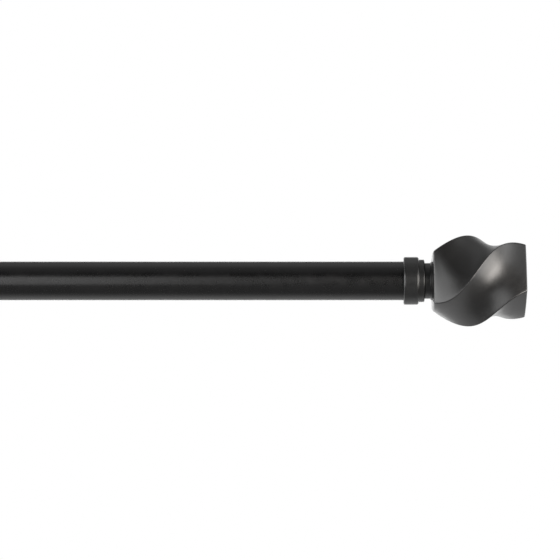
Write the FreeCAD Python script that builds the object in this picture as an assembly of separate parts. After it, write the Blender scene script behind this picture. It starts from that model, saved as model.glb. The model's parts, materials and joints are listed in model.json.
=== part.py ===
import FreeCAD, Part
import math
import os

# Telescoping curtain rod with two wall brackets, in millimetres.
# X runs along the rod, Z is up, and the wall is the plane Y = 0 with the room on its -Y side.
# The origin is on the wall, midway between the brackets, at the height of the rod's axis.

INCH = 25.4
RUNNING_GAP = 0.1              # radial, wherever a part slides or turns in another
GLUE_GAP = 0.03                # radial, wherever a part is pressed or glued into another
TIGHT_GAP = 0.1                # between faces that a screw pulls together

# The rod: 28 in to 48 in long, drawn halfway out.
ROD_LENGTH = 38 * INCH
TRAVEL = 10 * INCH
HALF_ROD = ROD_LENGTH / 2
OUTER_R = INCH / 2
INNER_R = 11.1
TUBE_WALL = 0.7
OUTER_BORE_R = OUTER_R - TUBE_WALL
INNER_BORE_R = INNER_R - TUBE_WALL
INNER_TUBE_LENGTH = 660.0
TUBE_EDGE = 0.25               # rounding of a cut tube end

# The end collar, which covers the last stretch of tube.
COLLAR_R = 15.6
COLLAR_OVERLAP = 8.4
COLLAR_WALL = 1.6
COLLAR_EDGE = 1.2
COLLAR_LEAD = 0.9              # rounding inside the mouth, which leaves a fine dark line on the tube
STEP_R = 13.9
STEP_LENGTH = 3.7
STEP_EDGE = 0.7

# The plastic ring in the mouth of the outer tube, and the bush on the hidden end of the inner one.
MOUTH_LIP_R = 13.5
MOUTH_LIP = 4.0
MOUTH_SLEEVE = 22.0
MOUTH_STOP_GAP = 0.5           # left between the lip and the left collar with the rod pushed in
BUSH_HEAD = 12.0
BUSH_SPIGOT = 10.0
BUSH_HOLE_R = 7.0

# The finial and what holds it on.
NECK_R = 11.7
NECK_LENGTH = 5.2
NECK_COVE = 1.0
NECK_LIP = 0.7
FINIAL_LENGTH = 60.7
FINIAL_SECTIONS = 14
CORNER_R_INNER = 23.8          # the section's corner radius next to the neck
CORNER_R_WIDEST = 29.9
CORNER_R_OUTER = 24.6          # and at the free end
WIDEST_AT = 0.38               # share of the length
BARREL_POWER = 2.9
SIDE_BULGE = 0.11              # rise of a side, as a share of half its chord
TWIST_START = -37              # degrees, of the corner nearest to the room
TWIST = 112.5
TWIST_EASE = 0.5               # how much slower the twist is at the two ends
STUD_R = 3.95
STUD_IN_PLUG = 14.0
STUD_IN_FINIAL = 18.0
STUD_CHAMFER = 0.6
INSERT_R = 6.0
INSERT_LENGTH = 15.0
WASHER_R = 8.0                 # a nylon washer, held in a recess in the neck
WASHER_BORE_R = 4.2
WASHER = 0.8
PLUG_LENGTH = 22.0
PLUG_CHAMFER = 1.0

# The brackets.
BRACKET_SPACING = 350.0
PROJECTION = 3.5 * INCH        # wall to rod axis, with the arm pushed in
PLATE_WIDTH = 32.0
PLATE_HEIGHT = 80.0
PLATE_THICKNESS = 3.0
PLATE_CORNER = 6.0
PLATE_EDGE = 1.0
SCREW_SPACING = 60.0
SCREW_HOLE_R = 2.6
SCREW_HEAD_R = 4.6
SOCKET_R = 9.5
SOCKET_FOOT_R = 13.0
SOCKET_FOOT = 4.0
SOCKET_LENGTH = 39.0
SOCKET_COVE = 2.5
SOCKET_EDGE = 0.8
ARM_R = 6.0
ARM_START = 4.0                # from the wall
ARM_CHAMFER = 0.8
SPIGOT_R = 4.0
SPIGOT_LENGTH = 8.0
CUP_R = OUTER_R + 0.3
CUP_WALL = 3.5
CUP_WIDTH = 16.0
CUP_BACK_HEIGHT = 9.5
CUP_FRONT_HEIGHT = 7.5
CUP_EDGE = 0.9
CUP_BOSS_R = 6.5
CUP_BOSS_LENGTH = 8.0

# The thumbscrews: one in each cup, and one under each socket.
SCREW_R = 2.0
SCREW_TIP_GAP = 0.2
PAD_R = 1.9                    # the swivelling nylon pad on the screw's tip
PAD = 1.2
PAD_STEM_R = 0.8
PAD_STEM = 2.0
SCREW_BOSS_R = 5.0
SCREW_BOSS = 3.0               # height of the tapped boss
SCREW_BOSS_EDGE = 0.6
SCREW_REACH = 3.0              # bare shank between the boss and the knob
SCREW_IN_KNOB = 6.0
KNOB_R = 6.5
KNOB_LENGTH = 8.0
KNOB_SHOULDER_R = 4.2
KNOB_SHOULDER = 1.6
KNOB_EDGE = 0.8
SOCKET_FILLET = 1.2            # where a boss grows out of the socket
CUP_FILLET = 0.5               # and out of the cup
LOCK_SCREW_AT = 33.0           # from the wall

ORIGIN = FreeCAD.Vector(0, 0, 0)
X_AXIS = FreeCAD.Vector(1, 0, 0)
Y_AXIS = FreeCAD.Vector(0, 1, 0)
Z_AXIS = FreeCAD.Vector(0, 0, 1)
SIDES = {"right": 1, "left": -1}


def outline(points):
    """A closed wire in the XY plane through (x, y) or (x, y, rounding) corners."""
    count = len(points)
    corners = [FreeCAD.Vector(p[0], p[1], 0) for p in points]
    starts, ends, arcs = [], [], []
    for i, point in enumerate(points):
        here = corners[i]
        rounding = point[2] if len(point) > 2 else 0
        if not rounding:
            starts.append(here)
            ends.append(here)
            arcs.append(None)
            continue
        back = (corners[i - 1] - here).normalize()
        ahead = (corners[(i + 1) % count] - here).normalize()
        half = back.getAngle(ahead) / 2
        reach = rounding / math.tan(half)
        middle = (back + ahead).normalize() * (rounding / math.sin(half) - rounding)
        starts.append(here + back * reach)
        ends.append(here + ahead * reach)
        arcs.append(Part.Arc(starts[i], here + middle, ends[i]).toShape())
    edges = []
    for i in range(count):
        if arcs[i]:
            edges.append(arcs[i])
        following = starts[(i + 1) % count]
        if ends[i].distanceToPoint(following) > 1e-6:
            edges.append(Part.LineSegment(ends[i], following).toShape())
    return Part.Wire(edges)


def turned(points):
    """A solid of revolution about X. Each corner is (x, radius) or (x, radius, rounding)."""
    return Part.Face(outline(points)).revolve(ORIGIN, X_AXIS, 360)


def round_bar(radius, start, end, chamfer=0.0):
    """A plain round bar along X, with both ends chamfered."""
    if not chamfer:
        return turned([(start, 0), (end, 0), (end, radius), (start, radius)])
    return turned([
        (start, 0),
        (end, 0),
        (end, radius - chamfer),
        (end - chamfer, radius),
        (start + chamfer, radius),
        (start, radius - chamfer),
    ])


# ---- the rod's ends, drawn along +X with the tube's cut end at X = 0 ----

def tube(radius, bore, length):
    return turned([
        (-length, bore),
        (0, bore),
        (0, radius, TUBE_EDGE),
        (-length, radius, TUBE_EDGE),
    ])


def end_collar():
    """The cap over the tube's end: a sleeve, an end wall and a lower step, bored for the stud."""
    wall_end = COLLAR_WALL
    step_end = COLLAR_WALL + STEP_LENGTH
    return turned([
        (-COLLAR_OVERLAP, OUTER_R + GLUE_GAP, COLLAR_LEAD),
        (0, OUTER_R + GLUE_GAP),
        (0, STUD_R + RUNNING_GAP),
        (step_end, STUD_R + RUNNING_GAP),
        (step_end, STEP_R, STEP_EDGE),
        (wall_end, STEP_R),
        (wall_end, COLLAR_R, COLLAR_EDGE),
        (-COLLAR_OVERLAP, COLLAR_R, COLLAR_EDGE),
    ])


def reducer_sleeve():
    """Fills the collar's bore round the thinner tube."""
    start = -COLLAR_OVERLAP + COLLAR_LEAD
    return turned([
        (start, INNER_R + GLUE_GAP),
        (0, INNER_R + GLUE_GAP),
        (0, OUTER_R),
        (start, OUTER_R),
    ])


def end_plug(bore):
    """The plug pressed into the tube, with the finial's thread as a plain bore."""
    radius = bore - GLUE_GAP
    return turned([
        (-PLUG_LENGTH, STUD_R + RUNNING_GAP / 2),
        (0, STUD_R + RUNNING_GAP / 2),
        (0, radius),
        (-PLUG_LENGTH + PLUG_CHAMFER, radius),
        (-PLUG_LENGTH, radius - PLUG_CHAMFER),
    ])


NECK_START = COLLAR_WALL + STEP_LENGTH + TIGHT_GAP
FINIAL_START = NECK_START + NECK_LENGTH


def neck():
    """The ferrule between the collar and the finial, with a small lip where it meets the finial."""
    lip_r = NECK_R + NECK_COVE
    lip_start = FINIAL_START - NECK_LIP
    recess_r = WASHER_R + RUNNING_GAP
    return turned([
        (NECK_START, recess_r),
        (NECK_START + WASHER, recess_r),
        (NECK_START + WASHER, STUD_R + GLUE_GAP),
        (FINIAL_START, STUD_R + GLUE_GAP),
        (FINIAL_START, lip_r),
        (lip_start, lip_r, NECK_LIP / 2),
        (lip_start - NECK_COVE, NECK_R),
        (NECK_START, NECK_R, NECK_LIP / 2),
    ])


def finial_washer():
    start = NECK_START - TIGHT_GAP / 2
    end = start + WASHER
    return turned([(start, WASHER_BORE_R), (end, WASHER_BORE_R), (end, WASHER_R), (start, WASHER_R)])


def corner_radius(share):
    """Corner radius of the finial's section: a barrel, widest a little before the middle."""
    if share < WIDEST_AT:
        away, end_radius = (WIDEST_AT - share) / WIDEST_AT, CORNER_R_INNER
    else:
        away, end_radius = (share - WIDEST_AT) / (1 - WIDEST_AT), CORNER_R_OUTER
    return CORNER_R_WIDEST - (CORNER_R_WIDEST - end_radius) * away ** BARREL_POWER


def twist_angle(share):
    """Angle of the section, in radians: slow, then fast in the middle, then slow."""
    eased = share - TWIST_EASE * math.sin(2 * math.pi * share) / (2 * math.pi)
    return math.radians(TWIST_START + TWIST * eased)


def finial_section(share):
    """A square with bulging sides, across X."""
    radius = corner_radius(share)
    turn = twist_angle(share)
    half_side = radius / math.sqrt(2)
    x = FINIAL_START + share * FINIAL_LENGTH

    def at(distance, angle):
        return FreeCAD.Vector(x, -distance * math.cos(angle), distance * math.sin(angle))

    corners = [at(radius, turn + k * math.pi / 2) for k in range(4)]
    crowns = [
        at(half_side * (1 + SIDE_BULGE), turn + (k + 0.5) * math.pi / 2) for k in range(4)
    ]
    sides = [Part.Arc(corners[k], crowns[k], corners[(k + 1) % 4]).toShape() for k in range(4)]
    return Part.Wire(sides)


def finial():
    sections = [finial_section(i / FINIAL_SECTIONS) for i in range(FINIAL_SECTIONS + 1)]
    body = Part.makeLoft(sections, True, False)
    hole = round_bar(INSERT_R, FINIAL_START - 1, FINIAL_START + INSERT_LENGTH)
    tip = round_bar(STUD_R + 0.5, FINIAL_START, FINIAL_START + STUD_IN_FINIAL + 2)
    return body.cut(hole).cut(tip)


def finial_insert():
    """The threaded insert in the finial, its thread a plain bore."""
    return turned([
        (FINIAL_START, STUD_R + GLUE_GAP),
        (FINIAL_START + INSERT_LENGTH, STUD_R + GLUE_GAP),
        (FINIAL_START + INSERT_LENGTH, INSERT_R - GLUE_GAP),
        (FINIAL_START, INSERT_R - GLUE_GAP),
    ])


def finial_stud():
    return round_bar(STUD_R, -STUD_IN_PLUG, FINIAL_START + STUD_IN_FINIAL, STUD_CHAMFER)


def on_rod_end(shape, sign, end_x):
    """Puts a shape drawn along +X from the tube's cut end onto the rod's right or left end."""
    placed = shape.copy()
    if sign < 0:
        placed.rotate(ORIGIN, Z_AXIS, 180)
    placed.translate(FreeCAD.Vector(end_x, -PROJECTION, 0))
    return placed


def rod_parts():
    mouth_x = -(HALF_ROD - TRAVEL) + COLLAR_OVERLAP + MOUTH_STOP_GAP + MOUTH_LIP
    outer_length = HALF_ROD - mouth_x
    parts = {
        "outer_tube": on_rod_end(tube(OUTER_R, OUTER_BORE_R, outer_length), 1, HALF_ROD),
        "inner_tube": on_rod_end(tube(INNER_R, INNER_BORE_R, INNER_TUBE_LENGTH), -1, -HALF_ROD),
    }
    mouth_ring = turned([
        (MOUTH_LIP, INNER_R + RUNNING_GAP),
        (MOUTH_LIP, MOUTH_LIP_R, 0.8),
        (0, MOUTH_LIP_R, 0.4),
        (0, OUTER_BORE_R - GLUE_GAP),
        (-MOUTH_SLEEVE, OUTER_BORE_R - GLUE_GAP),
        (-MOUTH_SLEEVE, INNER_R + RUNNING_GAP),
    ])
    parts["mouth_ring"] = on_rod_end(mouth_ring, -1, mouth_x)
    guide_bush = turned([
        (-BUSH_SPIGOT, BUSH_HOLE_R),
        (BUSH_HEAD, BUSH_HOLE_R),
        (BUSH_HEAD, OUTER_BORE_R - RUNNING_GAP, 1.0),
        (0, OUTER_BORE_R - RUNNING_GAP),
        (0, INNER_BORE_R - GLUE_GAP),
        (-BUSH_SPIGOT, INNER_BORE_R - GLUE_GAP),
    ])
    parts["guide_bush"] = on_rod_end(guide_bush, 1, INNER_TUBE_LENGTH - HALF_ROD)
    parts["left_reducer_sleeve"] = on_rod_end(reducer_sleeve(), -1, -HALF_ROD)
    for side, sign in SIDES.items():
        bore = OUTER_BORE_R if sign > 0 else INNER_BORE_R
        made = {
            "end_collar": end_collar(),
            "end_plug": end_plug(bore),
            "finial_stud": finial_stud(),
            "finial_washer": finial_washer(),
            "finial_neck": neck(),
            "finial_insert": finial_insert(),
            "finial": finial(),
        }
        for name, shape in made.items():
            parts[f"{side}_{name}"] = on_rod_end(shape, sign, sign * HALF_ROD)
    return parts


# ---- the brackets, drawn at X = 0. Round pieces are turned along X, then pointed into the room ----

def into_room(shape):
    """Turns a shape drawn along +X so that it runs from the wall into the room."""
    turned_shape = shape.copy()
    turned_shape.rotate(ORIGIN, Z_AXIS, -90)
    return turned_shape


def downwards(shape):
    """Turns a shape drawn along +X so that it runs down."""
    turned_shape = shape.copy()
    turned_shape.rotate(ORIGIN, Y_AXIS, 90)
    return turned_shape


def wall_plate():
    half_width, half_height = PLATE_WIDTH / 2, PLATE_HEIGHT / 2
    face = Part.Face(outline([
        (-half_width, -half_height, PLATE_CORNER),
        (half_width, -half_height, PLATE_CORNER),
        (half_width, half_height, PLATE_CORNER),
        (-half_width, half_height, PLATE_CORNER),
    ]))
    plate = face.extrude(Z_AXIS * PLATE_THICKNESS)
    front = [e for e in plate.Edges if e.BoundBox.ZMin > PLATE_THICKNESS - 1e-6]
    plate = plate.makeFillet(PLATE_EDGE, front)
    plate.rotate(ORIGIN, X_AXIS, 90)
    sink = SCREW_HEAD_R - SCREW_HOLE_R
    hole = into_room(turned([
        (-1, 0),
        (PLATE_THICKNESS + 1, 0),
        (PLATE_THICKNESS + 1, SCREW_HEAD_R + 1),
        (PLATE_THICKNESS - sink, SCREW_HOLE_R),
        (-1, SCREW_HOLE_R),
    ]))
    for z in (-SCREW_SPACING / 2, SCREW_SPACING / 2):
        drill = hole.copy()
        drill.translate(Z_AXIS * z)
        plate = plate.cut(drill)
    return plate


def tapped_boss(base, top):
    """The boss round a thumbscrew, from base to top along X, rounded at its top."""
    return turned([(base, 0), (top, 0), (top, SCREW_BOSS_R, SCREW_BOSS_EDGE), (base, SCREW_BOSS_R)])


def fillet_root(shape, base, direction, radius, reach, fillet):
    """Fillets the edges that a round boss shares with the body it grows out of, up to reach from base."""
    roots = []
    for edge in shape.Edges:
        points = edge.discretize(6)
        on_boss = all(abs(p.distanceToLine(base, direction) - radius) < 1e-3 for p in points)
        heights = [(p - base).dot(direction) for p in points]
        straight = edge.Curve.TypeId == "Part::GeomLine"
        if on_boss and not straight and 0 < min(heights) and max(heights) < reach:
            roots.append(edge)
    return shape.makeFillet(fillet, roots)


def arm_socket():
    """The tube on the wall plate that the arm slides in, with a tapped boss under its mouth."""
    foot_end = PLATE_THICKNESS + SOCKET_FOOT
    mouth = PLATE_THICKNESS + SOCKET_LENGTH
    bore = ARM_R + RUNNING_GAP
    body = into_room(turned([
        (PLATE_THICKNESS, 0),
        (mouth, 0),
        (mouth, SOCKET_R, SOCKET_EDGE),
        (foot_end, SOCKET_R, SOCKET_COVE),
        (foot_end, SOCKET_FOOT_R, SOCKET_EDGE),
        (PLATE_THICKNESS, SOCKET_FOOT_R),
    ]))
    boss = downwards(tapped_boss(ARM_R + 1, SOCKET_R + SCREW_BOSS))
    boss.translate(Y_AXIS * -LOCK_SCREW_AT)
    tap = downwards(round_bar(SCREW_R + RUNNING_GAP, 0, SOCKET_R + SCREW_BOSS + 1))
    tap.translate(Y_AXIS * -LOCK_SCREW_AT)
    under_screw = Y_AXIS * -LOCK_SCREW_AT
    joined = body.fuse(boss).removeSplitter()
    joined = fillet_root(joined, under_screw, -Z_AXIS, SCREW_BOSS_R, SOCKET_R + 1, SOCKET_FILLET)
    return joined.cut(into_room(round_bar(bore, 0, mouth + 1))).cut(tap)


ARM_END = PROJECTION - CUP_R - CUP_WALL / 2 - CUP_BOSS_LENGTH


def arm():
    """The round bar that slides in the socket, with a spigot that the cup is pressed onto."""
    return into_room(turned([
        (ARM_START, 0),
        (ARM_END + SPIGOT_LENGTH, 0),
        (ARM_END + SPIGOT_LENGTH, SPIGOT_R - GLUE_GAP),
        (ARM_END, SPIGOT_R - GLUE_GAP),
        (ARM_END, ARM_R),
        (ARM_START + ARM_CHAMFER, ARM_R),
        (ARM_START, ARM_R - ARM_CHAMFER),
    ]))


def cup():
    """The open-topped cup that the rod lies in. Its outline is drawn as seen from the end of the rod."""
    outside = CUP_R + CUP_WALL

    def point(y, z):
        return FreeCAD.Vector(0, y - PROJECTION, z)

    def bottom(radius):
        return Part.Arc(point(-radius, 0), point(0, -radius), point(radius, 0)).toShape()

    def line(start, end):
        return Part.LineSegment(point(*start), point(*end)).toShape()

    def rim(inner_y, outer_y, z):
        middle = (inner_y + outer_y) / 2
        return Part.Arc(point(inner_y, z), point(middle, z + CUP_WALL / 2), point(outer_y, z)).toShape()

    front, back = CUP_FRONT_HEIGHT - CUP_WALL / 2, CUP_BACK_HEIGHT - CUP_WALL / 2
    wire = Part.Wire([
        bottom(CUP_R),
        line((CUP_R, 0), (CUP_R, back)),
        rim(CUP_R, outside, back),
        line((outside, back), (outside, 0)),
        bottom(outside),
        line((-outside, 0), (-outside, front)),
        rim(-CUP_R, -outside, front),
        line((-CUP_R, front), (-CUP_R, 0)),
    ])
    body = Part.Face(wire).extrude(X_AXIS * CUP_WIDTH)
    body.translate(X_AXIS * (-CUP_WIDTH / 2))
    flanks = [e for e in body.Edges if e.BoundBox.XLength < 1e-6]
    body = body.makeFillet(CUP_EDGE, flanks)
    back_boss = into_room(turned([
        (ARM_END, 0),
        (PROJECTION - CUP_R - 1.0, 0),
        (PROJECTION - CUP_R - 1.0, CUP_BOSS_R),
        (ARM_END, CUP_BOSS_R, SOCKET_EDGE),
    ]))
    front_boss = into_room(tapped_boss(PROJECTION + CUP_R + 1.0, PROJECTION + outside + SCREW_BOSS))
    spigot_hole = into_room(round_bar(SPIGOT_R, ARM_END - 1, ARM_END + SPIGOT_LENGTH + 0.3))
    tap = into_room(round_bar(SCREW_R + RUNNING_GAP, PROJECTION, PROJECTION + outside + SCREW_BOSS + 1))
    joined = body.fuse(back_boss).fuse(front_boss).removeSplitter()
    middle = point(0, 0)
    joined = fillet_root(joined, middle, -Y_AXIS, SCREW_BOSS_R, outside + 1, CUP_FILLET)
    joined = fillet_root(joined, middle, Y_AXIS, CUP_BOSS_R, outside + 1, CUP_FILLET)
    return joined.cut(spigot_hole).cut(tap)


def screw_pad(tip):
    """The nylon pad on the screw's tip, with the stem that it swivels on."""
    return turned([
        (tip, 0),
        (tip + PAD + PAD_STEM, 0),
        (tip + PAD + PAD_STEM, PAD_STEM_R),
        (tip + PAD, PAD_STEM_R),
        (tip + PAD, PAD_R),
        (tip, PAD_R, 0.3),
    ])


def screw_shank(tip, boss_top):
    """The threaded shank, as a plain bar: from the pad to the bottom of the knob's bore."""
    start = tip + PAD + TIGHT_GAP / 2
    shank = round_bar(SCREW_R, start, boss_top + SCREW_REACH + SCREW_IN_KNOB, 0.3)
    return shank.cut(round_bar(PAD_STEM_R + RUNNING_GAP, start - 1, start + PAD_STEM + RUNNING_GAP))


def screw_knob(boss_top):
    """The knob, with a shoulder towards the boss and a blind bore for the shank."""
    start = boss_top + SCREW_REACH
    end = start + KNOB_LENGTH
    knob = turned([
        (start, 0),
        (end, 0),
        (end, KNOB_R, KNOB_EDGE),
        (start + KNOB_SHOULDER, KNOB_R, KNOB_EDGE),
        (start + KNOB_SHOULDER, KNOB_SHOULDER_R),
        (start, KNOB_SHOULDER_R, 0.4),
    ])
    bore = round_bar(SCREW_R + GLUE_GAP, start - 1, start + SCREW_IN_KNOB + 0.2)
    return knob.cut(bore)


def thumbscrew(tip, boss_top):
    return {
        "pad": screw_pad(tip),
        "shank": screw_shank(tip, boss_top),
        "knob": screw_knob(boss_top),
    }


def bracket_parts():
    """One bracket's pieces, at X = 0."""
    parts = {"wall_plate": wall_plate(), "arm_socket": arm_socket(), "arm": arm(), "cup": cup()}
    cup_boss_top = PROJECTION + CUP_R + CUP_WALL + SCREW_BOSS
    for name, shape in thumbscrew(PROJECTION + OUTER_R + SCREW_TIP_GAP, cup_boss_top).items():
        parts[f"cup_screw_{name}"] = into_room(shape)
    for name, shape in thumbscrew(ARM_R + SCREW_TIP_GAP, SOCKET_R + SCREW_BOSS).items():
        placed = downwards(shape)
        placed.translate(Y_AXIS * -LOCK_SCREW_AT)
        parts[f"lock_screw_{name}"] = placed
    return parts


def write(parts):
    os.makedirs("parts", exist_ok=True)
    for name, shape in sorted(parts.items()):
        solids = shape.Solids
        assert len(solids) == 1 and shape.isValid(), name
        solids[0].exportStep(f"parts/{name}.step")
        box = shape.BoundBox
        print(f"{name:24s} {solids[0].Volume:10.1f} mm3  "
              f"{box.XLength:7.1f} x {box.YLength:6.1f} x {box.ZLength:6.1f}")


def main():
    parts = rod_parts()
    for name, shape in bracket_parts().items():
        for side, sign in SIDES.items():
            placed = shape.copy()
            placed.translate(X_AXIS * (sign * BRACKET_SPACING / 2))
            parts[f"{side}_{name}"] = placed
    write(parts)


main()
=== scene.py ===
"""A satin black telescoping curtain rod on two wall brackets: fine meshes, materials, light and camera."""

import json
import math

import bmesh
import bpy
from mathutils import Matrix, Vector

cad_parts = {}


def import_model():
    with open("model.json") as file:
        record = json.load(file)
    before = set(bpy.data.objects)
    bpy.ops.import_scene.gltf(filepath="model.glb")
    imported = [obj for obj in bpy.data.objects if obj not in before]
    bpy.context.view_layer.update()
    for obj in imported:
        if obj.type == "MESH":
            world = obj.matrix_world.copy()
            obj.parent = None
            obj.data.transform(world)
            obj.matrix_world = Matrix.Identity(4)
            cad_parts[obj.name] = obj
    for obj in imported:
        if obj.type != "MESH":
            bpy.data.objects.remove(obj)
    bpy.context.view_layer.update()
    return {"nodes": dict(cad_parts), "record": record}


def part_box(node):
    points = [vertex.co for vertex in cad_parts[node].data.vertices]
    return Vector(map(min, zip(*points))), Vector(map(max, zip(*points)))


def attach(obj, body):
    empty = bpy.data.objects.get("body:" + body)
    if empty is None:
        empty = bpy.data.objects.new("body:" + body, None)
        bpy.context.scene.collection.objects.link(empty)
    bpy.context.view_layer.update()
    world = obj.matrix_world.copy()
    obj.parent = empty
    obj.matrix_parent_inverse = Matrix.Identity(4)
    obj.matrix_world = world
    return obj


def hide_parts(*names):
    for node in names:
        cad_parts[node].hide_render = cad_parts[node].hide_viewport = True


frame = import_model()

MM = 0.001
SIDES = {"right": 1, "left": -1}
X_AXIS = Vector((1, 0, 0))
Z_AXIS = Vector((0, 0, 1))
INTO_ROOM = Vector((0, -1, 0))
SHARP_ANGLE = math.radians(32)

# ---- the rod's end fittings, as they are in the CAD parts, in millimetres ----

TUBE_WALL = 0.7
TUBE_EDGE = 0.25
COLLAR_BORE_R = 12.73          # slides over the tube
COLLAR_OVERLAP = 8.4
COLLAR_WALL = 1.6
COLLAR_EDGE = 1.2
COLLAR_LEAD = 0.9
STEP_R = 13.9
STEP_EDGE = 0.7
STEP_COVE = 0.2
NECK_R = 11.7
NECK_COVE = 1.0
NECK_LIP = 0.7
NECK_LIP_COVE = 0.5
WASHER_RECESS_R = 8.1
WASHER = 0.8
STUD_R = 3.95
STUD_BORE_R = 4.0
INSERT_R = 6.0
INSERT_LENGTH = 15.0
STUD_HOLE_R = 4.45
STUD_HOLE_LENGTH = 20.0

# The finial: a square with bulging sides, which swells and twists along its length.
CORNER_R_INNER = 23.8
CORNER_R_WIDEST = 29.9
CORNER_R_OUTER = 24.6
WIDEST_AT = 0.38
BARREL_POWER = 2.9
SIDE_BULGE = 0.11
TWIST_START = -37
TWIST = 112.5
TWIST_EASE = 0.5
RIDGE_R = 1.0
NEAR_EDGE_R = 1.2              # rounding of its rim next to the neck
FREE_EDGE_R = 0.6              # and at its free end

# Threads and knobs.
STUD_PITCH = 1.25
SCREW_PITCH = 0.7
SCREW_R = 2.0
PEG_HOLE_LENGTH = 2.1          # in the screw's end, for the peg of its pad
PEG_HOLE_R = 0.9
THREAD_DEPTH = 0.54            # of the pitch
KNOB_R = 6.5
KNOB_BORE_R = 2.03
KNOB_BORE_LENGTH = 6.2
KNOB_SHOULDER = 1.6
KNOB_SHOULDER_R = 4.2
KNOB_FLUTES = 20
KNOB_FLUTE_DEPTH = 0.42
KNOB_DISH = 0.5

GUARD = 0.08                   # from the end of a straight run to its guard point


# ---- meshes ----

def rounded(points, steps=6):
    """A closed outline from (along, radius) or (along, radius, rounding) corners, each rounding an arc."""
    outline = []
    for i, point in enumerate(points):
        here = Vector(point[:2])
        rounding = point[2] if len(point) > 2 else 0
        if not rounding:
            outline.append(here)
            continue
        back = (Vector(points[i - 1][:2]) - here).normalized()
        ahead = (Vector(points[(i + 1) % len(points)][:2]) - here).normalized()
        half = back.angle(ahead) / 2
        reach = rounding / math.tan(half)
        centre = here + (back + ahead).normalized() * (rounding / math.sin(half))
        first = here + back * reach - centre
        last = here + ahead * reach - centre
        outline += [centre + first.slerp(last, k / steps) * rounding for k in range(steps + 1)]
    return outline


def guarded(outline):
    """The outline with a point near both ends of each straight run, so that the run shades straight."""
    points = []
    for here, ahead in zip(outline, outline[1:] + outline[:1]):
        points.append(here)
        run = ahead - here
        if run.length > 5 * GUARD:
            step = run.normalized() * GUARD
            points += [here + step, ahead - step]
    return points


def mesh_piece(name, points, faces):
    """A smooth-shaded object whose sharp edges stay sharp, from points in metres."""
    mesh = bpy.data.meshes.new(name)
    mesh.from_pydata([tuple(p) for p in points], [], faces)
    work = bmesh.new()
    work.from_mesh(mesh)
    bmesh.ops.recalc_face_normals(work, faces=work.faces)
    work.to_mesh(mesh)
    work.free()
    mesh.shade_smooth()
    mesh.set_sharp_from_angle(angle=SHARP_ANGLE)
    piece = bpy.data.objects.new(name, mesh)
    bpy.context.scene.collection.objects.link(piece)
    return piece


def lathe(name, outline, origin, direction, segments=96, radius_at=None, angles=None):
    """Spins a closed outline, in millimetres, about the line through origin along direction.

    radius_at(angle, along, radius) may change the radius, as a thread or a knurl does. Angles turn
    right-handed about direction.
    """
    side = X_AXIS if abs(direction.z) > 0.5 else Z_AXIS
    up = direction.cross(side)
    angles = angles or [2 * math.pi * k / segments for k in range(segments)]
    points, rings = [], []
    for along, radius in guarded(outline):
        base = origin + direction * along * MM
        if radius < 1e-6:
            rings.append([len(points)] * len(angles))
            points.append(base)
            continue
        rings.append(list(range(len(points), len(points) + len(angles))))
        for angle in angles:
            r = radius_at(angle, along, radius) if radius_at else radius
            points.append(base + (side * math.cos(angle) + up * math.sin(angle)) * r * MM)
    faces = []
    for i, ring in enumerate(rings):
        following = rings[(i + 1) % len(rings)]
        for k in range(len(angles)):
            after = (k + 1) % len(angles)
            corners = [ring[k], following[k], following[after], ring[after]]
            face = list(dict.fromkeys(corners))
            if len(face) > 2:
                faces.append(face)
    return mesh_piece(name, points, faces)


def centre_line(node):
    """The middle of a node's box across the rod, at X = 0."""
    low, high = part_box(node)
    return Vector((0, (low.y + high.y) / 2, (low.z + high.z) / 2))


def add(piece, node, body, material):
    """The piece stands for the CAD node, rides on its body and takes its material."""
    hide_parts(node)
    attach(piece, body)
    piece.data.materials.clear()
    piece.data.materials.append(material)
    return piece


def body_of_node(node):
    return next(b for b, nodes in frame["record"]["behaviour"]["bodies"].items() if node in nodes)


def slot_of_node(node):
    return next(s["material_slot"] for s in frame["record"]["subparts"] if s["node"] == node)


# ---- materials ----

def new_material(name):
    material = bpy.data.materials.new(name)
    material.use_nodes = True
    nodes = material.node_tree.nodes
    nodes.clear()
    output = nodes.new("ShaderNodeOutputMaterial")
    shader = nodes.new("ShaderNodeBsdfPrincipled")
    material.node_tree.links.new(shader.outputs[0], output.inputs[0])
    return material, shader


def noise(material, scale, detail=3.0, roughness=0.5, stretch=None):
    """A noise texture in the part's own coordinates. Scale is in cycles per metre."""
    tree = material.node_tree
    place = tree.nodes.new("ShaderNodeTexCoord")
    texture = tree.nodes.new("ShaderNodeTexNoise")
    texture.inputs["Scale"].default_value = scale
    texture.inputs["Detail"].default_value = detail
    texture.inputs["Roughness"].default_value = roughness
    source = place.outputs["Object"]
    if stretch:
        mapping = tree.nodes.new("ShaderNodeMapping")
        mapping.inputs["Scale"].default_value = stretch
        tree.links.new(source, mapping.inputs[0])
        source = mapping.outputs[0]
    tree.links.new(source, texture.inputs["Vector"])
    return texture.outputs["Fac"]


def spread(material, value, low, high, start=0.3, end=0.7):
    """Maps a texture's middle range onto low to high."""
    tree = material.node_tree
    node = tree.nodes.new("ShaderNodeMapRange")
    node.inputs["From Min"].default_value = start
    node.inputs["From Max"].default_value = end
    node.inputs["To Min"].default_value = low
    node.inputs["To Max"].default_value = high
    tree.links.new(value, node.inputs["Value"])
    return node.outputs["Result"]


def bump(material, shader, layers):
    """Adds bump layers, each (height, distance in mm), one after the other."""
    tree = material.node_tree
    previous = None
    for height, distance in layers:
        node = tree.nodes.new("ShaderNodeBump")
        node.inputs["Distance"].default_value = distance * MM
        tree.links.new(height, node.inputs["Height"])
        if previous:
            tree.links.new(previous, node.inputs["Normal"])
        previous = node.outputs["Normal"]
    tree.links.new(previous, shader.inputs["Normal"])


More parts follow.
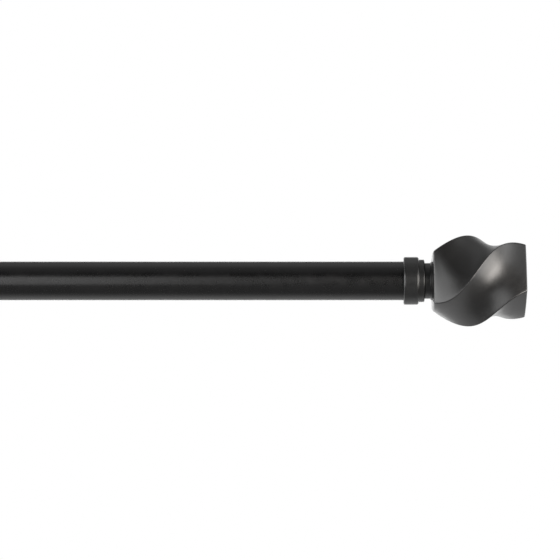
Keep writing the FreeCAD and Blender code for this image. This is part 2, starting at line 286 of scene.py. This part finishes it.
def mixed_colour(material, shader, factor, first, second):
    tree = material.node_tree
    mix = tree.nodes.new("ShaderNodeMix")
    mix.data_type = "RGBA"
    mix.inputs["A"].default_value = (*first, 1)
    mix.inputs["B"].default_value = (*second, 1)
    tree.links.new(factor, mix.inputs["Factor"])
    tree.links.new(mix.outputs["Result"], shader.inputs["Base Color"])


def coating(name, colour, pale, roughness, peel, wear=0.0):
    """A sprayed or powder-coated finish: fine orange peel, slow gloss changes, and a little edge wear."""
    material, shader = new_material(name)
    tree = material.node_tree
    shader.inputs["Specular IOR Level"].default_value = 1.0
    tone = spread(material, noise(material, 35, 4), 0, 1)
    if wear:
        geometry = tree.nodes.new("ShaderNodeNewGeometry")
        edge = spread(material, geometry.outputs["Pointiness"], 0, wear, 0.52, 0.58)
        total = tree.nodes.new("ShaderNodeMath")
        total.operation = "ADD"
        total.use_clamp = True
        tree.links.new(tone, total.inputs[0])
        tree.links.new(edge, total.inputs[1])
        tone = total.outputs[0]
    mixed_colour(material, shader, tone, colour, pale)
    gloss = spread(material, noise(material, 110, 4), roughness - 0.03, roughness + 0.03)
    tree.links.new(gloss, shader.inputs["Roughness"])
    bump(material, shader, [(noise(material, 900, 2), peel), (noise(material, 2600, 1), peel * 0.3)])
    return material


def plated_steel():
    """Bright zinc plate: a metal with a fine, even mottle in its tone, gloss and surface."""
    material, shader = new_material("zinc_plated_steel")
    shader.inputs["Metallic"].default_value = 1.0
    mixed_colour(material, shader, spread(material, noise(material, 160, 4), 0, 1),
                 (0.52, 0.52, 0.50), (0.68, 0.67, 0.63))
    gloss = spread(material, noise(material, 700, 3), 0.24, 0.38)
    material.node_tree.links.new(gloss, shader.inputs["Roughness"])
    bump(material, shader, [(noise(material, 2400, 2), 0.01)])
    return material


def turned_brass():
    material, shader = new_material("brass_insert")
    shader.inputs["Metallic"].default_value = 1.0
    mixed_colour(material, shader, spread(material, noise(material, 220, 3), 0, 1),
                 (0.66, 0.46, 0.2), (0.78, 0.6, 0.3))
    gloss = spread(material, noise(material, 900, 3, stretch=(6, 1, 1)), 0.25, 0.4)
    material.node_tree.links.new(gloss, shader.inputs["Roughness"])
    bump(material, shader, [(noise(material, 1500, 2, stretch=(4, 1, 1)), 0.01)])
    return material


def moulded(name, colour, pale, roughness):
    """Moulded nylon: a slightly uneven satin with a faint grain."""
    material, shader = new_material(name)
    shader.inputs["Subsurface Weight"].default_value = 0.0
    mixed_colour(material, shader, spread(material, noise(material, 90, 4), 0, 1), colour, pale)
    gloss = spread(material, noise(material, 500, 3), roughness - 0.05, roughness + 0.05)
    material.node_tree.links.new(gloss, shader.inputs["Roughness"])
    bump(material, shader, [(noise(material, 1800, 3), 0.02)])
    return material


MATERIALS = {
    "rod_tube": coating("rod_tube", (0.0012, 0.0012, 0.0014), (0.0025, 0.0025, 0.0028), 0.28, 0.01),
    "end_fitting": coating("end_fitting", (0.009, 0.0094, 0.0095), (0.012, 0.0124, 0.0125), 0.3, 0.01),
    "finial_casting": coating("finial_casting", (0.006, 0.0059, 0.0059), (0.008, 0.0078, 0.0077), 0.34, 0.015),
    "bracket_steel": coating("bracket_steel", (0.007, 0.007, 0.0076), (0.01, 0.01, 0.0108), 0.38, 0.015, 0.5),
    "screw_knob": coating("screw_knob", (0.007, 0.007, 0.0076), (0.01, 0.01, 0.0108), 0.34, 0.01, 0.8),
    "zinc_plated_steel": plated_steel(),
    "brass_insert": turned_brass(),
    "black_nylon": moulded("black_nylon", (0.010, 0.010, 0.011), (0.016, 0.016, 0.017), 0.5),
    "natural_nylon": moulded("natural_nylon", (0.66, 0.63, 0.54), (0.76, 0.74, 0.66), 0.45),
}


def replace_node(piece, node):
    slot = slot_of_node(node)
    return add(piece, node, body_of_node(node), MATERIALS[slot])


# ---- the rod ----

SEAM_ANGLE = 1.5 * math.pi     # the tube's back, towards the wall
SEAM_WIDTH = 0.010             # radians
SEAM_DEPTH = 0.09              # millimetres


def tube_angles(segments):
    """Even angles round the tube, with extra ones across the weld seam at its back."""
    even = [2 * math.pi * k / segments for k in range(segments)]
    fine = [SEAM_ANGLE + SEAM_WIDTH * k / 3 for k in range(-9, 10)]
    return sorted(set(round(a % (2 * math.pi), 6) for a in even + fine))


def tube(node):
    """A thin welded tube with softened cut ends and a fine seam that faces the wall."""
    low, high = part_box(node)
    length = (high.x - low.x) / MM
    radius = (high.z - low.z) / 2 / MM
    bore = radius - TUBE_WALL

    def with_seam(angle, along, r):
        away = (angle - SEAM_ANGLE) / SEAM_WIDTH
        return r - SEAM_DEPTH * math.exp(-away * away) if r > bore + 0.1 else r

    outline = rounded([(0, bore), (length, bore), (length, radius, TUBE_EDGE), (0, radius, TUBE_EDGE)], 3)
    start = centre_line(node) + X_AXIS * low.x
    return replace_node(lathe(node + "_skin", outline, start, X_AXIS, radius_at=with_seam,
                              angles=tube_angles(128)), node)


def end_frame(side):
    """Where the tube's cut end is, and which way is outwards, at that end of the rod."""
    sign = SIDES[side]
    low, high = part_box(f"{side}_end_collar")
    mouth = low.x if sign > 0 else high.x
    origin = centre_line(f"{side}_end_collar") + X_AXIS * (mouth + sign * COLLAR_OVERLAP * MM)
    return origin, X_AXIS * sign


def collar(side):
    node = f"{side}_end_collar"
    low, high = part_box(node)
    radius = (high.z - low.z) / 2 / MM
    end = (high.x - low.x) / MM - COLLAR_OVERLAP
    outline = rounded([
        (-COLLAR_OVERLAP, COLLAR_BORE_R, COLLAR_LEAD),
        (0, COLLAR_BORE_R),
        (0, STUD_BORE_R),
        (end, STUD_BORE_R),
        (end, STEP_R, STEP_EDGE),
        (COLLAR_WALL, STEP_R, STEP_COVE),
        (COLLAR_WALL, radius, COLLAR_EDGE),
        (-COLLAR_OVERLAP, radius, COLLAR_EDGE),
    ])
    origin, outwards = end_frame(side)
    return replace_node(lathe(node + "_turned", outline, origin, outwards, 128), node)


def neck(side):
    node = f"{side}_finial_neck"
    low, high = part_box(node)
    origin, outwards = end_frame(side)
    near, far = (low.x, high.x) if outwards.x > 0 else (high.x, low.x)
    start = (near - origin.x) * outwards.x / MM
    end = (far - origin.x) * outwards.x / MM
    lip_r = NECK_R + NECK_COVE
    outline = rounded([
        (start, WASHER_RECESS_R),
        (start + WASHER, WASHER_RECESS_R),
        (start + WASHER, STUD_BORE_R),
        (end, STUD_BORE_R),
        (end, lip_r),
        (end - NECK_LIP, lip_r, NECK_LIP / 2),
        (end - NECK_LIP - NECK_COVE, NECK_R, NECK_LIP_COVE),
        (start, NECK_R, NECK_LIP / 2),
    ])
    return replace_node(lathe(node + "_turned", outline, origin, outwards, 128), node)


# ---- the finial ----

def corner_radius(share):
    if share < WIDEST_AT:
        away, end_radius = (WIDEST_AT - share) / WIDEST_AT, CORNER_R_INNER
    else:
        away, end_radius = (share - WIDEST_AT) / (1 - WIDEST_AT), CORNER_R_OUTER
    return CORNER_R_WIDEST - (CORNER_R_WIDEST - end_radius) * away ** BARREL_POWER


def twist_angle(share):
    eased = share - TWIST_EASE * math.sin(2 * math.pi * share) / (2 * math.pi)
    return math.radians(TWIST_START + TWIST * eased)


def section(share, side_steps=22, ridge_steps=6):
    """The finial's section as (distance, angle) points: four bulging sides joined by small round ridges."""
    half_side = corner_radius(share) / math.sqrt(2)
    rise = SIDE_BULGE * half_side
    arc_r = (half_side ** 2 + rise ** 2) / (2 * rise)
    arc_centre = half_side + rise - arc_r
    reach = arc_r - RIDGE_R
    ridge = (math.sqrt(2) * arc_centre + math.sqrt(4 * reach ** 2 - 2 * arc_centre ** 2)) / 2
    ridge_xy = ridge / math.sqrt(2)
    half_angle = math.atan2(ridge_xy, ridge_xy - arc_centre)
    points = []
    for k in range(4):
        turn = twist_angle(share) + (k + 0.5) * math.pi / 2
        local = []
        for i in range(side_steps + 1):
            a = half_angle * (2 * i / side_steps - 1)
            local.append((arc_centre + arc_r * math.cos(a), arc_r * math.sin(a)))
        for i in range(1, ridge_steps):
            a = half_angle + (math.pi / 2 - 2 * half_angle) * i / ridge_steps
            local.append((ridge_xy + RIDGE_R * math.cos(a), ridge_xy + RIDGE_R * math.sin(a)))
        points += [(math.hypot(u, v), turn + math.atan2(v, u)) for u, v in local]
    return points


def finial(side, lengthwise=150):
    """The twisted square casting, closed at its free end and bored for its insert at the other."""
    node = f"{side}_finial"
    low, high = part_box(node)
    origin, outwards = end_frame(side)
    length = (high.x - low.x) / MM
    start = (low.x - origin.x if outwards.x > 0 else origin.x - high.x) / MM
    toward_room = INTO_ROOM * outwards.x

    def ring(along, pairs):
        base = origin + outwards * (start + along) * MM
        return [base + (toward_room * math.cos(a) + Z_AXIS * math.sin(a)) * r * MM for r, a in pairs]

    def shrunk(pairs, by):
        return [(r - by, a) for r, a in pairs]

    def towards_circle(pairs, radius, share):
        return [(r + (radius - r) * share, a) for r, a in pairs]

    def at(along):
        return ring(along, section(along / length))

    def rim(along, edge_r, depth):
        """The ring at along on a rounded rim, where it is depth in from the end face."""
        inset = edge_r - math.sqrt(edge_r ** 2 - (edge_r - depth) ** 2)
        return ring(along, shrunk(section(along / length), inset))

    first, last = section(0), section(1)
    shares = [1 - math.cos(math.pi / 2 * k / 5) for k in range(5)]
    inner = shrunk(first, NEAR_EDGE_R)
    rings = [
        ring(STUD_HOLE_LENGTH, [(STUD_HOLE_R, a) for _, a in first]),
        ring(INSERT_LENGTH, [(STUD_HOLE_R, a) for _, a in first]),
        ring(INSERT_LENGTH, [(INSERT_R, a) for _, a in first]),
        ring(0, [(INSERT_R, a) for _, a in first]),
    ]
    rings += [ring(0, towards_circle(inner, INSERT_R, share)) for share in (0.7, 0.4, 0.15)]
    rings += [rim(NEAR_EDGE_R * share, NEAR_EDGE_R, NEAR_EDGE_R * share) for share in shares]
    straight = length - NEAR_EDGE_R - FREE_EDGE_R
    rings += [at(NEAR_EDGE_R + straight * k / lengthwise) for k in range(lengthwise + 1)]
    rings += [rim(length - FREE_EDGE_R * share, FREE_EDGE_R, FREE_EDGE_R * share) for share in reversed(shares)]
    outer = shrunk(last, FREE_EDGE_R)
    rings += [ring(length, [(r * share, a) for r, a in outer]) for share in (0.93, 0.75, 0.5, 0.25)]

    points = [p for r in rings for p in r]
    count = len(first)
    faces = []
    for i in range(len(rings) - 1):
        for k in range(count):
            after = (k + 1) % count
            faces.append([i * count + k, (i + 1) * count + k, (i + 1) * count + after, i * count + after])
    hole_end, tip = len(points), len(points) + 1
    points.append(origin + outwards * (start + STUD_HOLE_LENGTH) * MM)
    points.append(origin + outwards * (start + length) * MM)
    last_ring = (len(rings) - 1) * count
    for k in range(count):
        after = (k + 1) % count
        faces.append([hole_end, k, after])
        faces.append([tip, last_ring + after, last_ring + k])
    return replace_node(mesh_piece(node + "_casting", points, faces), node)


# ---- threads and knobs ----

def threaded(node, origin, direction, start, end, radius, pitch, bore=None):
    """A bar with a right-hand thread that runs out at both ends."""
    rows = 9
    count = max(2, round((end - start) / pitch * rows))
    depth = THREAD_DEPTH * pitch

    def cut(angle, along, r):
        if r < radius - 0.01:
            return r
        phase = (along / pitch - angle / (2 * math.pi)) % 1
        groove = max(0.0, 1 - abs(phase - 0.5) * 2.6)
        run_out = min(1.0, (along - start) / pitch, (end - along) / pitch)
        return r - depth * groove * max(0.0, run_out)

    chamfer = 0.35 * pitch
    outline = [Vector((start, 0)), Vector((start, radius - chamfer))]
    if bore:
        depth_of_bore, bore_r = bore
        outline = [Vector((start + depth_of_bore, 0)), Vector((start + depth_of_bore, bore_r)),
                   Vector((start, bore_r)), Vector((start, radius - chamfer))]
    outline += [Vector((start + chamfer + (end - start - 2 * chamfer) * k / count, radius))
                for k in range(count + 1)]
    outline += [Vector((end, radius - chamfer)), Vector((end, 0))]
    return replace_node(lathe(node + "_threaded", outline, origin, direction, 40, radius_at=cut), node)


def knob(node, origin, direction, start, end, radius):
    """A round knob with a fluted rim, a soft crown and a shallow dish in its end."""
    rim_start = start + KNOB_SHOULDER

    def fluted(angle, along, r):
        if r < radius - 1.0 or along < rim_start - 0.01:
            return r
        inside = min(1.0, (along - rim_start) / 0.5, (end - along) / 0.5)
        wave = 0.5 - 0.5 * math.cos(KNOB_FLUTES * angle)
        return r - KNOB_FLUTE_DEPTH * wave ** 1.5 * max(0.0, inside)

    outline = rounded([
        (start, KNOB_BORE_R),
        (start, KNOB_SHOULDER_R, 0.4),
        (rim_start, KNOB_SHOULDER_R, 0.3),
        (rim_start, radius, 0.7),
        (end, radius, 0.9),
        (end, radius * 0.62, 0.5),
        (end - KNOB_DISH, radius * 0.5, 0.4),
        (end - KNOB_DISH, 0),
        (start + KNOB_BORE_LENGTH, 0),
        (start + KNOB_BORE_LENGTH, KNOB_BORE_R),
    ], 5)
    return replace_node(lathe(node + "_fluted", outline, origin, direction, 160, radius_at=fluted), node)


def span_along(node, origin, direction):
    """How far a node reaches from origin along a direction, in millimetres, lowest and highest."""
    low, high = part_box(node)
    ends = [(Vector(c) - origin).dot(direction) / MM for c in (low, high)]
    return min(ends), max(ends)


def screw(side, which):
    prefix = f"{side}_{which}_screw"
    low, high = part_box(prefix + "_shank")
    middle = (low + high) / 2
    if which == "cup":
        direction, origin = INTO_ROOM, Vector((middle.x, 0, middle.z))
    else:
        direction, origin = -Z_AXIS, Vector((middle.x, middle.y, 0))
    start, end = span_along(prefix + "_shank", origin, direction)
    threaded(prefix + "_shank", origin, direction, start, end, SCREW_R, SCREW_PITCH,
             bore=(PEG_HOLE_LENGTH, PEG_HOLE_R))
    start, end = span_along(prefix + "_knob", origin, direction)
    knob(prefix + "_knob", origin, direction, start, end, KNOB_R)


def stud(side):
    node = f"{side}_finial_stud"
    origin, outwards = end_frame(side)
    start, end = span_along(node, origin, outwards)
    threaded(node, origin, outwards, start, end, STUD_R, STUD_PITCH)


# ---- putting it together ----

for tube_node in ("outer_tube", "inner_tube"):
    tube(tube_node)
for side_name in SIDES:
    collar(side_name)
    neck(side_name)
    finial(side_name)
    stud(side_name)
    for screw_kind in ("cup", "lock"):
        screw(side_name, screw_kind)

for node_name, cad in frame["nodes"].items():
    cad.data.materials.clear()
    cad.data.materials.append(MATERIALS[slot_of_node(node_name)])

# ---- floor, light and camera ----

CAMERA_DISTANCE = 2.67
VIEW_WIDTH = 0.3657            # at the object
LEFT_OF_COLLAR = 0.0805        # of the picture's middle
ABOVE_AXIS = 0.0006
WARM = (1.0, 0.95, 0.9)
FLOOR_LEVEL = -1.0
FLOOR_R = 2.4
FLOOR_GLOW = 0.7               # keeps the floor pale in the camera's view
FLOOR_RADIANCE_FRONT = 0.14    # of the floor, as the object reflects it
FLOOR_RADIANCE_BACK = 0.6
BAND_RADIANCE = 1.9            # of the world, as the object sees it: low at its sides and back
BACK_RADIANCE = 0.2            # high at its back
TOP_RADIANCE = 0.17            # overhead


def floor():
    """A pale disc. Reflections on the object see it at an even brightness, dimmer in front than behind."""
    mesh = bpy.data.meshes.new("floor")
    work = bmesh.new()
    bmesh.ops.create_circle(work, cap_ends=True, segments=96, radius=FLOOR_R)
    bmesh.ops.translate(work, verts=work.verts, vec=(0, 0, FLOOR_LEVEL))
    work.to_mesh(mesh)
    work.free()
    disc = bpy.data.objects.new("floor", mesh)
    bpy.context.scene.collection.objects.link(disc)
    material, shader = new_material("floor")
    tree = material.node_tree
    path = tree.nodes.new("ShaderNodeLightPath")
    tone = tree.nodes.new("ShaderNodeMix")
    tone.data_type = "RGBA"
    tone.inputs["A"].default_value = (0.8, 0.8, 0.8, 1)
    tone.inputs["B"].default_value = (0, 0, 0, 1)
    tree.links.new(path.outputs["Is Glossy Ray"], tone.inputs["Factor"])
    tree.links.new(tone.outputs["Result"], shader.inputs["Base Color"])
    shader.inputs["Roughness"].default_value = 0.7
    place = tree.nodes.new("ShaderNodeTexCoord")
    split = tree.nodes.new("ShaderNodeSeparateXYZ")
    tree.links.new(place.outputs["Object"], split.inputs[0])
    reflected = spread(material, split.outputs["Y"], FLOOR_RADIANCE_FRONT, FLOOR_RADIANCE_BACK, -0.3, 0.3)
    glow = tree.nodes.new("ShaderNodeMix")
    tree.links.new(path.outputs["Is Glossy Ray"], glow.inputs["Factor"])
    tree.links.new(spread(material, path.outputs["Is Camera Ray"], 0, FLOOR_GLOW, 0, 1), glow.inputs["A"])
    tree.links.new(reflected, glow.inputs["B"])
    shader.inputs["Emission Color"].default_value = (1, 1, 1, 1)
    tree.links.new(glow.outputs["Result"], shader.inputs["Emission Strength"])
    mesh.materials.append(material)


def world():
    """White to the camera. To the object: dim in front, with a brighter band round its sides and back."""
    made = bpy.data.worlds.new("studio")
    bpy.context.scene.world = made
    made.use_nodes = True
    tree = made.node_tree
    tree.nodes.clear()
    place = tree.nodes.new("ShaderNodeTexCoord")
    split = tree.nodes.new("ShaderNodeSeparateXYZ")
    tree.links.new(place.outputs["Generated"], split.inputs[0])
    toward_wall, up = split.outputs["Y"], split.outputs["Z"]

    def ramp(source, low, high, start, end):
        node = tree.nodes.new("ShaderNodeMapRange")
        node.interpolation_type = "SMOOTHSTEP"
        node.inputs["From Min"].default_value = start
        node.inputs["From Max"].default_value = end
        node.inputs["To Min"].default_value = low
        node.inputs["To Max"].default_value = high
        tree.links.new(source, node.inputs["Value"])
        return node.outputs["Result"]

    def combine(operation, first, second):
        node = tree.nodes.new("ShaderNodeMath")
        node.operation = operation
        tree.links.new(first, node.inputs[0])
        tree.links.new(second, node.inputs[1])
        return node.outputs[0]

    band = combine("MULTIPLY", ramp(up, 1, 0, 0.05, 0.6), ramp(toward_wall, 0, BAND_RADIANCE, -0.8, -0.1))
    back = combine("MULTIPLY", ramp(up, 0, 1, 0.05, 0.6), ramp(toward_wall, 0, BACK_RADIANCE, -0.3, 0.3))
    sides = combine("ADD", band, back)
    total = combine("ADD", sides, ramp(up, 0, TOP_RADIANCE, 0.6, 0.95))
    lit = tree.nodes.new("ShaderNodeBackground")
    tree.links.new(total, lit.inputs["Strength"])
    seen = tree.nodes.new("ShaderNodeBackground")
    seen.inputs["Strength"].default_value = 1.0
    for background in (lit, seen):
        background.inputs["Color"].default_value = (1, 1, 1, 1)
    path = tree.nodes.new("ShaderNodeLightPath")
    mix = tree.nodes.new("ShaderNodeMixShader")
    output = tree.nodes.new("ShaderNodeOutputWorld")
    tree.links.new(path.outputs["Is Camera Ray"], mix.inputs[0])
    tree.links.new(lit.outputs[0], mix.inputs[1])
    tree.links.new(seen.outputs[0], mix.inputs[2])
    tree.links.new(mix.outputs[0], output.inputs[0])


def softbox(name, target, azimuth, elevation, distance, width, height, radiance, colour=(1, 1, 1)):
    """A soft rectangle that faces target. Azimuth 0 is towards the camera, and positive to its right."""
    a, e = math.radians(azimuth), math.radians(elevation)
    back = Vector((math.sin(a) * math.cos(e), -math.cos(a) * math.cos(e), math.sin(e)))
    data = bpy.data.lights.new(name, "AREA")
    data.shape = "RECTANGLE"
    data.size, data.size_y = width, height
    data.energy = radiance * math.pi * width * height
    data.color = colour
    light = bpy.data.objects.new(name, data)
    light.location = target + back * distance
    light.rotation_mode = "QUATERNION"
    light.rotation_quaternion = back.to_track_quat("Z", "Y")
    light.visible_camera = False
    bpy.context.scene.collection.objects.link(light)


def lights():
    low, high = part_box("right_finial")
    finial_middle = (low + high) / 2
    softbox("key", finial_middle, 54, -2, 2.0, 1.5, 1.5, 3.4, WARM)
    softbox("key_core", finial_middle, 54, 4, 2.0, 0.5, 0.5, 1.6, WARM)
    softbox("fill", finial_middle, 31, 1, 2.0, 0.8, 1.25, 6.0, WARM)
    softbox("upper_right", finial_middle, 42, 18, 2.0, 0.7, 0.6, 3.2, WARM)
    softbox("high", finial_middle, 76, 37, 2.0, 2.2, 0.55, 2.4)
    softbox("left", finial_middle, -61, 1, 2.0, 2.8, 1.4, 1.5)
    softbox("upper_left", finial_middle, -33, 20, 2.2, 0.7, 0.8, 1.8)
    softbox("front", finial_middle, -18, 1, 1.5, 0.4, 1.2, 1.2)


def camera():
    """Level with the rod, far back with a long lens, and centred a little inside the rod's end."""
    low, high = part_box("right_end_collar")
    axis = (low + high) / 2
    data = bpy.data.cameras.new("camera")
    data.sensor_width = 36
    data.lens = data.sensor_width * CAMERA_DISTANCE / VIEW_WIDTH
    data.clip_end = 50
    eye = bpy.data.objects.new("camera", data)
    eye.location = (low.x - LEFT_OF_COLLAR, axis.y - CAMERA_DISTANCE, axis.z + ABOVE_AXIS)
    eye.rotation_euler = (math.pi / 2, 0, 0)
    bpy.context.scene.collection.objects.link(eye)
    bpy.context.scene.camera = eye


floor()
world()
lights()
camera()
bpy.context.scene.view_settings.view_transform = "Standard"
